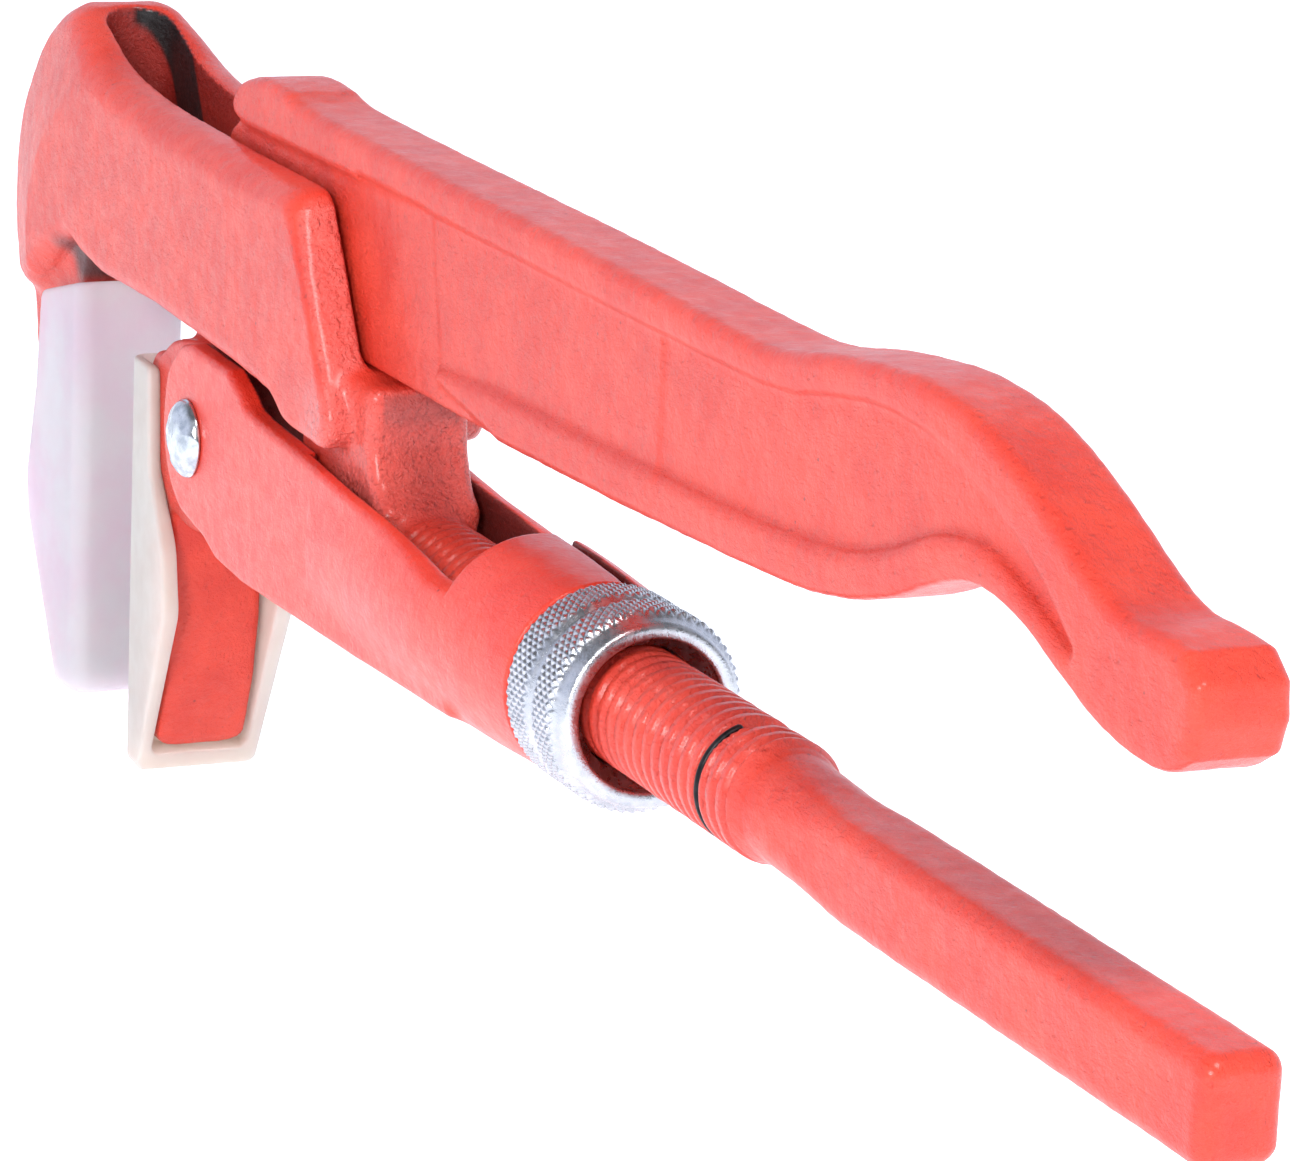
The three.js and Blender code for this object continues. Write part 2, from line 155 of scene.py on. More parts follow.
def softened(points, radius, steps=4):
    """The outline with each sharp corner replaced by a short curve that starts radius away from it."""
    pts = np.array(points, float)
    out = []
    for k in range(len(pts)):
        before, corner, after = pts[k - 1], pts[k], pts[(k + 1) % len(pts)]
        back, ahead = before - corner, after - corner
        if -np.dot(back, ahead) > STRAIGHT * np.linalg.norm(back) * np.linalg.norm(ahead):
            out.append(tuple(corner))
            continue
        start = corner + back * min(0.5, radius / np.linalg.norm(back))
        end = corner + ahead * min(0.5, radius / np.linalg.norm(ahead))
        for i in range(steps + 1):
            t = i / steps
            out.append(tuple((1 - t) ** 2 * start + 2 * t * (1 - t) * corner + t**2 * end))
    return out


def outline_distance(x, z, points):
    """Signed distance to a closed outline, negative inside."""
    x, z = np.broadcast_arrays(x, z)
    nearest = np.full(x.shape, np.inf)
    inside = np.zeros(x.shape, bool)
    for (ax, az), (bx, bz) in zip(points, list(points[1:]) + [points[0]]):
        ex, ez = bx - ax, bz - az
        length = ex * ex + ez * ez
        if length < 1e-12:
            continue
        px, pz = x - ax, z - az
        along = np.clip((px * ex + pz * ez) / length, 0, 1)
        nearest = np.minimum(nearest, (px - ex * along) ** 2 + (pz - ez * along) ** 2)
        if ez:
            inside ^= ((az <= z) != (bz <= z)) & (px < pz * ex / ez)
    return np.where(inside, -1, 1) * np.sqrt(nearest)


def rounded_both(a, b, edge):
    """Where both fields are negative, with the edge between their faces rounded."""
    a, b = a + edge, b + edge
    return np.minimum(np.maximum(a, b), 0) + np.hypot(np.maximum(a, 0), np.maximum(b, 0)) - edge


def join(a, b, blend=1.0):
    """Union with a fillet."""
    near = np.maximum(blend - np.abs(a - b), 0) / blend
    return np.minimum(a, b) - near * near * blend / 4


def cut(a, b, blend=0.5):
    """a without b, with softened edges."""
    return -join(-a, b, blend)


def plate(p, outline, half, edge):
    """A plate with this side outline, from -half to half in y."""
    x, y, z = p
    return rounded_both(outline_distance(x, z, outline), np.abs(y) - half, edge)


def lathe(p, profile):
    """A body turned about the stem's axis from a closed (x, radius) outline."""
    x, y, z = p
    return outline_distance(x, np.hypot(y, z), profile)


def pivot_hole(p):
    """The rivet's hole, across the part."""
    x, _, z = p
    return np.hypot(x - PIVOT_X, z - PIVOT_Z) - RIVET_HOLE


# ---- meshing ----

def surface_net(field, xs, ys, zs):
    """Corners and quads of the field's zero surface on a grid with these lines."""
    values = field((xs[:, None, None], ys[None, :, None], zs[None, None, :]))
    inside = values < 0
    count = np.zeros(tuple(n - 1 for n in values.shape), np.uint8)
    shifts = [(i, j, k) for i in (0, 1) for j in (0, 1) for k in (0, 1)]
    nx, ny, nz = count.shape
    for i, j, k in shifts:
        count += inside[i:i + nx, j:j + ny, k:k + nz]
    active = (count > 0) & (count < 8)
    cells = np.argwhere(active)
    number = np.full(count.shape, -1, np.int64)
    number[active] = np.arange(len(cells))

    total = np.zeros((len(cells), 3))
    crossings = np.zeros(len(cells))
    lines = (xs, ys, zs)
    for a in shifts:
        for axis in range(3):
            if a[axis]:
                continue
            b = tuple(v + (n == axis) for n, v in enumerate(a))
            ia, ib = cells + a, cells + b
            va, vb = values[tuple(ia.T)], values[tuple(ib.T)]
            crossed = (va < 0) != (vb < 0)
            t = np.where(crossed, va / np.where(crossed, va - vb, 1), 0)
            pa = np.stack([lines[n][ia[:, n]] for n in range(3)], 1)
            pb = np.stack([lines[n][ib[:, n]] for n in range(3)], 1)
            total += (pa + t[:, None] * (pb - pa)) * crossed[:, None]
            crossings += crossed
    corners = total / crossings[:, None]

    quads = []
    for axis in range(3):
        second, third = (axis + 1) % 3, (axis + 2) % 3
        low = [slice(1, -1)] * 3
        high = [slice(1, -1)] * 3
        low[axis], high[axis] = slice(0, -1), slice(1, None)
        start = inside[tuple(low)]
        edges = np.argwhere(start != inside[tuple(high)])
        leaving = start[tuple(edges.T)]
        edges[:, second] += 1
        edges[:, third] += 1
        ring = []
        for back_second, back_third in ((1, 1), (0, 1), (0, 0), (1, 0)):
            cell = edges.copy()
            cell[:, second] -= back_second
            cell[:, third] -= back_third
            ring.append(number[tuple(cell.T)])
        ring = np.stack(ring, 1)
        ring[~leaving] = ring[~leaving][:, ::-1]
        quads.append(ring)
    return corners, np.vstack(quads)


def settled(field, corners, limit, probe=0.02):
    """The corners moved onto the zero surface, so that round stretches come out smooth, and the
    surface's normals there."""
    height = field(tuple(corners.T))
    slope = np.zeros_like(corners)
    for axis in range(3):
        moved = corners.copy()
        moved[:, axis] += probe
        slope[:, axis] = (field(tuple(moved.T)) - height) / probe
    steep = np.maximum((slope**2).sum(1), 0.05)
    for _ in range(2):
        move = -(height / steep)[:, None] * slope
        length = np.linalg.norm(move, axis=1)[:, None]
        corners = corners + move * np.minimum(1, limit / np.maximum(length, 1e-9))
        height = field(tuple(corners.T))
    return corners, slope / np.sqrt(steep)[:, None]


def undulated(corners, normals, waves):
    """The corners moved along their normals by layers of (height, length) noise, in mm."""
    out = corners.copy()
    for height, length in waves:
        lift = [noise.noise(Vector(c) / length) for c in corners.tolist()]
        out += normals * (np.array(lift) * height)[:, None]
    return out


def place(corners):
    """Corners in the part's frame in metres, from the stem's frame in mm."""
    return [ORIGIN + Vector(c) * MM for c in corners]


def new_piece(name, corners, faces, body, node, material, slot):
    """A smooth mesh that moves with the body and stands in for the CAD node."""
    mesh = bpy.data.meshes.new(name)
    mesh.from_pydata(place(corners), [], faces)
    mesh.validate()
    mesh.update()
    mesh.shade_smooth()
    mesh.materials.append(material)
    piece = bpy.data.objects.new(name, mesh)
    bpy.context.scene.collection.objects.link(piece)
    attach(piece, body)
    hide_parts(node)
    return piece


def grid_lines(low, high, step):
    """Evenly spaced lines from low to high, at most a step apart."""
    return np.linspace(low, high, int(math.ceil((high - low) / step)) + 1)


def forged_piece(name, field, x_lines, y_reach, z_low, z_high, step, waves, **where):
    """A piece meshed from its distance field inside these limits."""
    ys = grid_lines(-y_reach, y_reach, step)
    zs = grid_lines(z_low, z_high, step)
    corners, quads = surface_net(field, x_lines, ys, zs)
    corners, normals = settled(field, corners, step * 0.5)
    corners = undulated(corners, normals, waves)
    return new_piece(name, corners.tolist(), quads.tolist(), **where)


# ---- hook arm ----

CROWN = smooth_line([(-96, 39.9), (-118, 40.4), (-132, 41.2), (-143, 42.9), (-151, 45.9), (-157.5, 48.4)], 16)
SPINE = smooth_line([(-160.5, 48.4), (-166, 46.7), (-171.5, 43.8), (-177.5, 38.6), (-182.3, 31),
                     (-183.5, 24), (-182.3, 16), (-177.5, 8.5)], 22)
HEAD_OUTLINE = softened([(-71.5, 39.6)] + CROWN + SPINE + [
    (-172, 8.5), (-162, 15), (-154, 19), (-148, 17.5), (-140, 16.4), (-120, 16.6), (-104, 16),
    (-91, 15.4), (-84, 14.9), (-75, 14.8), (-71, 12.4), (-58, 12), (-56, 15), (-58.4, 20), (-69.5, 38)], 2.0)
# The flat of the head's sides. Outside it the sides fall away to the crown and the spine.
HEAD_FLAT = smooth_line([(-64, 36.5), (-100, 37.6), (-135, 39.5), (-147, 39), (-155, 36), (-162, 31),
                         (-167, 25), (-169.3, 19), (-169, 12)], 24) + [(-165, -10), (-40, -10), (-40, 36)]
# Slope of the sides outside that flat.
HEAD_FALL = 0.2
HOOK_JAW = softened([(-150, 22), (-153.5, 18), (HOOK_FACE, 13.9), (HOOK_FACE, -40), (-158, -41.8),
                     (-163, -41.8), (-166, -39), (-173, -20), (-176.5, 0), (-178.5, 12), (-172, 26)], 1.5)
NECK = softened([(-76, 20.2), (-74, 6), (-66, 4), (-48, 4), (-47.5, 7), (-50.5, 9), (-52, 13),
                 (-52.6, 20.2)], 1.5)


def toothed(body, p, face, side, z_low, z_high):
    """body with teeth cut across a jaw face that looks towards side, +1 or -1 along x."""
    x, _, z = p
    phase = ((z - z_low) / TOOTH_PITCH) % 1.0
    ramp = np.where(phase < 0.85, phase / 0.85, (1 - phase) / 0.15)
    groove = face + side * 0.05 - side * TOOTH_DEPTH * (1 - ramp)
    past = side * (x - groove) * 0.9
    band = np.maximum(z_low - z, z - z_high)
    return np.maximum(body, -np.maximum(-past, band))


def thread_field(p):
    """The right-hand thread: V grooves along a helix, with a chamfer at the rear end."""
    x, y, z = p
    r = np.hypot(y, z)
    turn = x / THREAD_PITCH - np.arctan2(z, y) / (2 * math.pi)
    groove = THREAD_DEPTH * np.maximum(0, 1 - np.abs(turn % 1.0 - 0.5) / THREAD_GROOVE) ** 0.9
    side = (r - (THREAD_RADIUS - groove)) * 0.6
    run_out = np.maximum(x - THREAD_REAR, THREAD_FRONT - 1 - x)
    chamfer = (r - THREAD_RADIUS + (x - THREAD_REAR + 1.6) * 0.6) * 0.85
    return np.maximum(np.maximum(side, run_out), chamfer)


def eased(x, low, high):
    """0 before low, 1 after high, and smooth between."""
    t = np.clip((x - low) / (high - low), 0, 1)
    return t * t * (3 - 2 * t)


def lower_handle(p):
    """From a round start at the thread to a squared, rounded end."""
    x, y, z = p
    half_width = 5.6 - 1.3 * eased(x, 44, 62) - 0.2 * eased(x, 70, 120)
    half_height = 5.6 - 0.5 * eased(x, 44, 62)
    corner = 5.4 - 3.4 * eased(x, 46, 66)
    drop = HANDLE_DROP * eased(x, 44, 64)
    section = rounded_both(np.abs(y) - half_width, np.abs(z + drop) - half_height, corner)
    return rounded_both(section, np.maximum(x - HANDLE_END, 43 - x), 1.9)


def hook_field(p):
    """Head with its slot, hook jaw, neck, threaded stem and lower handle."""
    x, y, z = p
    fall = np.maximum(outline_distance(x, z, HEAD_FLAT), 0)
    edge = 2.7 + 0.9 * eased(z, 30, 38) - 1.2 * eased(x, -84, -74)
    sides = np.abs(y) - HEAD_HALF + fall * HEAD_FALL
    head = rounded_both(outline_distance(x, z, HEAD_OUTLINE), sides, edge)
    jaw = toothed(plate(p, HOOK_JAW, JAW_HALF, 1.0), p, HOOK_FACE, 1, -39, 9)
    head = join(head, jaw, 2.5)
    floor = np.where(x < SLOT_REAR, 0.0, SLOT_FLOOR)
    slot = np.maximum(np.hypot(np.maximum(SLOT_END - x, 0), y - SLOT_SHIFT) - SLOT_HALF, floor - z)
    head = cut(head, slot, 0.7)
    neck = plate(p, NECK, NECK_HALF, 1.6)
    stem = lathe(p, [(-73, 0), (-73, 4.5), (-71, 6.5), (-46, 6.5), (-46, 0)])
    neck = join(neck, stem, 2.0)
    arm = join(head, neck, 0.8 + 2.2 * eased(z, 15, 20))
    arm = join(arm, thread_field(p), 0.4)
    arm = join(arm, lower_handle(p), 0.8)
    ring_groove = np.maximum(np.abs(x - RING_X) - 0.75, 5.4 - np.hypot(y, z))
    return cut(arm, ring_groove, 0.3)


# ---- lever arm ----

LEVER_TOP = smooth_line([(-105.3, 44.6), (-102.5, 47.2), (-95, 48.8), (-87, 48.6), (-79, 47.5), (-50, 46.9),
                         (0, 46.2), (36, 45.3), (47, 45.6), (57, 47.3), (70, 48.7), (79, 48.7), (88, 47.3),
                         (98, 43.8), (107, 39.5), (113.5, 37.2), (119, 37.1), (124, 36.7)], 54)
LEVER_BOTTOM = smooth_line([(126, 28), (122.5, 26), (118, 25.6), (111, 26.6), (104, 29), (97, 31.6),
                            (90, 32.9), (84, 32.4), (77, 30), (70, 27.2), (60, 24.8), (48, 23.6),
                            (20, 22.4), (-20, 21.4)], 40)
LEVER_OUTLINE = LEVER_TOP + [(126.6, 34.5), (127, 31)] + LEVER_BOTTOM + [
    (-38, 24), (-42, 41.9), (-101.5, 41.9), (-104.4, 42.8)]
WEB_TOP = smooth_line([(-62, 42.2), (-20, 41.8), (15, 41.4), (45, 41.4), (56, 43), (66, 44.4), (76, 44.2),
                       (84, 42.6), (92, 39.9), (99, 36.7), (105.5, 32)], 24)
WEB_BOTTOM = smooth_line([(99, 34.3), (92, 36.6), (86, 37), (79, 35.6), (72, 32.8), (64, 30.5), (53, 29.1),
                          (31, 28), (-20, 27), (-36, 26), (-62, 24)], 26)
BLADE = softened([(20, 44), (-102, 44), (-107, 41), (-114, 34), (-117, 24), (-119, 12), (-100, 8),
                  (-97.5, 14), (-96, 19), (-91, 21.3), (-20, 21.4), (20, 22.4)], 1.5)
BOSS = smooth_line([(-126.3, 3), (-124.9, 8.4), (-121, 11.6), (-113, 13.3), (-101, 13.6), (-94.5, 9),
                    (-93, 3), (-95.5, -5), (-103, -8.8), (-110, -10.4), (-116, -10.4), (-120.5, -8.4),
                    (-124.7, -3.2)], 30)
MOVING_JAW = softened([(-127, 9.5), (MOVING_FACE, 6), (MOVING_FACE, -39), (-128.5, -42), (-125, -42.5),
                       (-123.8, -41), (-120.8, -33), (-119, -24), (-119, -10), (-113, 0), (-115, 8)], 1.5)


def lever_field(p):
    """Upper handle with its recessed web, blade, boss and moving jaw."""
    x, y, z = p
    handle = plate(p, LEVER_OUTLINE, FLANGE_HALF, 1.5)
    recess = rounded_both(outline_distance(x, z, WEB_TOP + WEB_BOTTOM), WEB_HALF - np.abs(y), 0.3)
    handle = cut(handle, recess, 1.8)
    arm = join(handle, plate(p, BLADE, WEB_HALF, 0.6), 0.8)
    arm = join(arm, plate(p, BOSS, BOSS_HALF, 0.9), 1.2)
    jaw = toothed(plate(p, MOVING_JAW, JAW_HALF, 0.9), p, MOVING_FACE, -1, -38, 6)
    toe = rounded_both(np.abs(y) - JAW_HALF, MOVING_JAW_TOE + 0.03 * y ** 2 - z, 1.8)
    arm = join(arm, np.maximum(jaw, toe), 1.5)
    return cut(arm, pivot_hole(p), 0.3)


# ---- fork sleeve ----

CHEEK_TOP = [(-108.8, 13.9), (-105.5, 14.6), (-92, 14.2), (-87.4, 12.4), (-85, 11), (-81, 10.4),
             (-66, 9.6), (-35, 6.8), (-24.4, 5.4), (-19, 5.4)]
CHEEK_BOTTOM = [(-19, -8.5), (-48, -9.6), (-85.7, -10.4), (-94.7, -9.8), (-99, -8.3)]
CHEEK_FRONT = smooth_line([(-108, -6.8), (-112, -3.9), (-114.5, 1), (-114.5, 6), (-113, 10.3),
                           (-108.8, 13.9)], 14)
CHEEK = softened(CHEEK_FRONT[:-1] + CHEEK_TOP + CHEEK_BOTTOM, 1.0)
SHELL = [(CHANNEL_FRONT, 0), (CHANNEL_FRONT, 9.6), (-50, 10.4), (-38, 11.3), (-25, 11.7), (-12, 11.4),
         (-4, 11), (SLEEVE_REAR, SLEEVE_RADIUS), (SLEEVE_REAR, 0)]
ABOVE = [(-130, 40), (-130, 11), (-81, 10.4)] + CHEEK_TOP[6:] + [(-19, 40)]


def fork_field(p):
    """Two cheeks that run back into an open channel and then a slit tube round the stem."""
    x, y, z = p
    cheeks = plate(p, CHEEK, CHEEK_OUTER, 0.9)
    between = np.maximum(np.abs(y) - CHEEK_INNER, x - CHANNEL_FRONT)
    cheeks = cut(cheeks, between, 0.4)
    shell = cut(lathe(p, SHELL), outline_distance(x, z, ABOVE), 0.8)
    body = join(cheeks, shell, 1.6)
    r = np.hypot(y, z)
    ahead = CHANNEL_FRONT - 5 - x
    body = cut(body, np.maximum(r - CHANNEL_HALF, ahead), 0.3)
    channel = np.maximum(np.maximum(np.abs(y) - CHANNEL_HALF, -z), np.maximum(x - TUBE_FRONT, ahead))
    body = cut(body, channel, 0.8)
    slit = np.maximum(np.maximum(np.abs(y - 3.5) - 0.9, 5 - z), TUBE_FRONT - 1 - x)
    body = cut(body, slit, 0.5)
    body = cut(body, np.maximum(r - COLLAR_RADIUS - 0.5, COLLAR_FRONT - 0.6 - x), 0.3)
    return cut(body, pivot_hole(p), 0.3)


# ---- jaw caps ----

HOOK_CAP = {
    "face": -154.2, "side": -1, "top": 13.2, "bottom": -43.4, "at_face": 7.3, "at_rim": 8.7,
    "cavity": 6.3, "floor": 1.1,
    "rim": [(-168, 9), (-169.5, -4), (-172.5, -17), (-171.8, -22), (-160.5, -44), (-157, -52)]}
MOVING_CAP = {
    "face": -132.2, "side": 1, "top": 7.8, "bottom": -45.5, "at_face": 7.6, "at_rim": 9.0,
    "cavity": 6.5, "floor": 2.4,
    "rim": [(-123.4, 7.8), (-122.6, -5), (-116, -13.5), (-114.4, -22), (-125.5, -45.5), (-128.6, -52)]}


def cap_field(cap):
    """A trough over a jaw face, open behind and on top, whose side walls thicken towards the rim."""
    side, face = cap["side"], cap["face"]
    depth = max(abs(x - face) for x, _ in cap["rim"]) * 1.2
    behind = face - side * 2
    trim = softened([(behind, cap["top"])] + cap["rim"] + [(behind, cap["bottom"] - 8)], 1.5)

    def outside(p):
        _, y, z = p
        into = side * (p[0] - face)
        half = cap["at_face"] + (cap["at_rim"] - cap["at_face"]) * into / depth
        sides = rounded_both(np.abs(y) - half, -into, 2.2)
        return rounded_both(sides, np.maximum(z - cap["top"] - 1, cap["bottom"] - z), 1.2)

    def cavity(p):
        _, y, z = p
        into = side * (p[0] - face)
        sides = rounded_both(np.abs(y) - cap["cavity"], CAP_WALL - into, 1.0)
        return rounded_both(sides, cap["bottom"] + cap["floor"] - z, 1.4)

    def field(p):
        shell = cut(outside(p), cavity(p), 0.35)
        return -join(-shell, -outline_distance(p[0], p[2], trim), 0.45)

    return field


# ---- turned and swept pieces ----

def ring_faces(rows, around, closed_ends=False):
    """Quads between rows of points round an axis, the last row joined to the first or capped."""
    faces = []
    spans = rows - 1 if closed_ends else rows
    for row in range(spans):
        after = (row + 1) % rows
        for i in range(around):
            j = (i + 1) % around
            faces.append((row * around + i, row * around + j, after * around + j, after * around + i))
    if closed_ends:
        faces.append(tuple(reversed(range(around))))
        faces.append(tuple((rows - 1) * around + i for i in range(around)))
    return faces


def knurl_height(x, angle, low, high):
    """Height of diamond knurling in a band, 0 at its roots and 1 at its points."""
    pitch = 2 * math.pi * NUT_RADIUS / KNURL_COUNT
    across = angle / (2 * math.pi) * KNURL_COUNT
    along = x / pitch
    ridges = [abs((v % 1.0) * 2 - 1) for v in (across + along, across - along)]
    fade = min(1.0, (x - low) / 0.5, (high - x) / 0.5)
    return max(0.0, fade) * min(1.0, 1.5 * min(1 - ridges[0] * 0.9, 1 - ridges[1] * 0.9) + 0.05)


def nut_shape():
    """Rows of points round the stem: bore, collar, two knurled bands with a groove between, rear face."""
    bands = ((0.35, 5.35), (7.05, 11.7))
    root = NUT_RADIUS - KNURL_DEPTH
    profile = [(COLLAR_FRONT, NUT_BORE), (COLLAR_FRONT, COLLAR_RADIUS - 0.3),
               (COLLAR_FRONT + 0.3, COLLAR_RADIUS), (-3.8, COLLAR_RADIUS), (-3.8, COLLAR_RADIUS - 0.5),
               (-2.2, COLLAR_RADIUS - 0.5), (-2.2, COLLAR_RADIUS), (0, COLLAR_RADIUS), (0, root - 0.6),
               (0.1, root - 0.1)]
    profile += [(x, root) for x in np.arange(0.35, 5.36, NUT_STEP)]
    profile += [(5.5, root - 0.05), (5.7, root - 0.3), (6.0, root - 0.4), (6.4, root - 0.4),
                (6.7, root - 0.3), (6.9, root - 0.05)]
    profile += [(x, root - 0.5 * max(0.0, x - 11.0)) for x in np.arange(7.05, 11.71, NUT_STEP)]
    profile += [(12.2, 10.05), (12.8, 9.9), (13.15, 9.75), (NUT_LENGTH, 9.45), (NUT_LENGTH, 9.0),
                (NUT_LENGTH, 8.45), (13.25, 8.2), (13.0, NUT_COUNTERBORE), (11.2, NUT_COUNTERBORE),
                (10.4, NUT_BORE)]
    corners = []
    for x, radius in profile:
        for i in range(NUT_AROUND):
            angle = 2 * math.pi * i / NUT_AROUND
            r = radius
            for low, high in bands:
                if low <= x <= high and radius > 9:
                    r += KNURL_DEPTH * knurl_height(x, angle, low, high)
            corners.append((x, r * math.cos(angle), r * math.sin(angle)))
    return corners, ring_faces(len(profile), NUT_AROUND)


def rivet_shape():
    """A shank with two hammered domes, turned about the pivot."""
    seat = CHEEK_OUTER + 0.1
    rings = 14
    around = 72
    dome = []
    for k in range(rings + 1):
        bend = k / rings * math.pi / 2
        dome.append((RIVET_DOME * math.sin(bend), RIVET_HEAD * math.cos(bend) ** 0.8))
    dome[-1] = (RIVET_DOME, 0.05)
    rows = [(-seat - y, r) for y, r in reversed(dome)] + [(-seat, RIVET_SHANK), (seat, RIVET_SHANK)]
    rows += [(seat + y, r) for y, r in dome]
    corners = []
    for y, r in rows:
        for i in range(around):
            angle = 2 * math.pi * i / around
            point = Vector((PIVOT_X + r * math.cos(angle), y, PIVOT_Z - r * math.sin(angle)))
            if abs(y) > seat + 0.3:
                dents = noise.cell(point / 1.9) * 0.12 + noise.noise(point / 1.3) * 0.22
                point.y -= math.copysign(max(0, dents), y)
            corners.append(tuple(point))
    return corners, ring_faces(len(rows), around, closed_ends=True)


def ring_shape():
    """The wire ring in the stem's groove, with a gap between its rounded ends."""
    steps = 96
    around = 14
    radius = THREAD_RADIUS - RING_WIRE
    cap_rows = [(math.sin(a), math.cos(a)) for a in np.linspace(-math.pi / 2 + 0.25, 0, 5)[:-1]]
    rows = [(back * RING_WIRE, size, 0.0) for back, size in cap_rows]
    rows += [(0.0, 1.0, k / steps) for k in range(steps + 1)]
    rows += [(-back * RING_WIRE, size, 1.0) for back, size in reversed(cap_rows)]
    corners = []
    for shift, size, along in rows:
        angle = RING_START + along * (2 * math.pi - RING_GAP) + shift / radius
        for i in range(around):
            turn = 2 * math.pi * i / around
            r = radius + RING_WIRE * size * math.cos(turn)
            x = RING_X + RING_WIRE * size * math.sin(turn)
            corners.append((x, r * math.cos(angle), r * math.sin(angle)))
    return corners, ring_faces(len(rows), around, closed_ends=True)


# ---- materials ----

class Nodes:
    """Short names for building one material's node tree."""

    def __init__(self, name):
        self.material = bpy.data.materials.new(name)
        self.material.use_nodes = True
        self.tree = self.material.node_tree
        self.shader = self.tree.nodes["Principled BSDF"]
        coordinates = self.add("ShaderNodeTexCoord")
        scale = self.add("ShaderNodeVectorMath", operation="SCALE")
        scale.inputs["Scale"].default_value = 1 / MM
        self.link(coordinates.outputs["Object"], scale.inputs[0])
        self.millimetres = scale.outputs[0]

    def add(self, kind, **settings):
        node = self.tree.nodes.new(kind)
        for key, value in settings.items():
            setattr(node, key, value)
        return node

    def link(self, a, b):
        self.tree.links.new(a, b)

    def stretched(self, x, y, z):
        node = self.add("ShaderNodeVectorMath", operation="MULTIPLY")
        node.inputs[1].default_value = (x, y, z)
        self.link(self.millimetres, node.inputs[0])
        return node.outputs[0]

    def noise(self, length, detail=3.0, roughness=0.5, vector=None):
        node = self.add("ShaderNodeTexNoise")
        node.inputs["Scale"].default_value = 1 / length
        node.inputs["Detail"].default_value = detail
        node.inputs["Roughness"].default_value = roughness
        self.link(vector or self.millimetres, node.inputs["Vector"])
        return node.outputs["Fac"]

    def voronoi(self, length, feature="F1"):
        node = self.add("ShaderNodeTexVoronoi", feature=feature)
        node.inputs["Scale"].default_value = 1 / length
        self.link(self.millimetres, node.inputs["Vector"])
        return node.outputs

    def attribute(self, name):
        return self.add("ShaderNodeAttribute", attribute_name=name).outputs["Fac"]

    def spread(self, value, low, high, to_low=0.0, to_high=1.0):
        node = self.add("ShaderNodeMapRange", clamp=True, interpolation_type="SMOOTHSTEP")
        for socket, number in zip(node.inputs[1:5], (low, high, to_low, to_high)):
            socket.default_value = number
        self.link(value, node.inputs[0])
        return node.outputs[0]

    def math(self, operation, a, b):
        node = self.add("ShaderNodeMath", operation=operation)
        for socket, value in zip(node.inputs, (a, b)):
            if isinstance(value, (int, float)):
                socket.default_value = value
            else:
                self.link(value, socket)
        return node.outputs[0]

    def mix(self, factor, a, b):
        node = self.add("ShaderNodeMix", data_type="RGBA")
        self.link(factor, node.inputs[0])
        for socket, value in zip((node.inputs[6], node.inputs[7]), (a, b)):
            if isinstance(value, tuple):
                socket.default_value = (*value, 1)
            else:
                self.link(value, socket)
        return node.outputs[2]

    def bump(self, height, distance, strength=1.0, under=None):
        node = self.add("ShaderNodeBump")
        node.inputs["Strength"].default_value = strength
        node.inputs["Distance"].default_value = distance * MM
        self.link(height, node.inputs["Height"])
        if under:
            self.link(under, node.inputs["Normal"])
        return node.outputs["Normal"]

    def set(self, **sockets):
        """Links or sets the shader's sockets, named with _ for each space."""
        for name, value in sockets.items():
            socket = self.shader.inputs[name.replace("_", " ")]
            if hasattr(value, "is_linked"):
                self.link(value, socket)
            else:
                socket.default_value = value


# Linear colours of the coat: its two tones, over specks of grit, a painted shade for the slot's walls,
# a painted sheen where its pebbled skin shines, and a near-black painted shade under the head and in the
# fork.
PAINT_RED = (0.86, 0.058, 0.026)
PAINT_DEEP = (0.76, 0.038, 0.017)
PAINT_GRIT = (0.16, 0.012, 0.012)
PAINT_SLOT_SHADE = (0.30, 0.016, 0.011)
PAINT_SHEEN = (0.95, 0.30, 0.28)
PAINT_SHADE_DARK = (0.012, 0.010, 0.011)


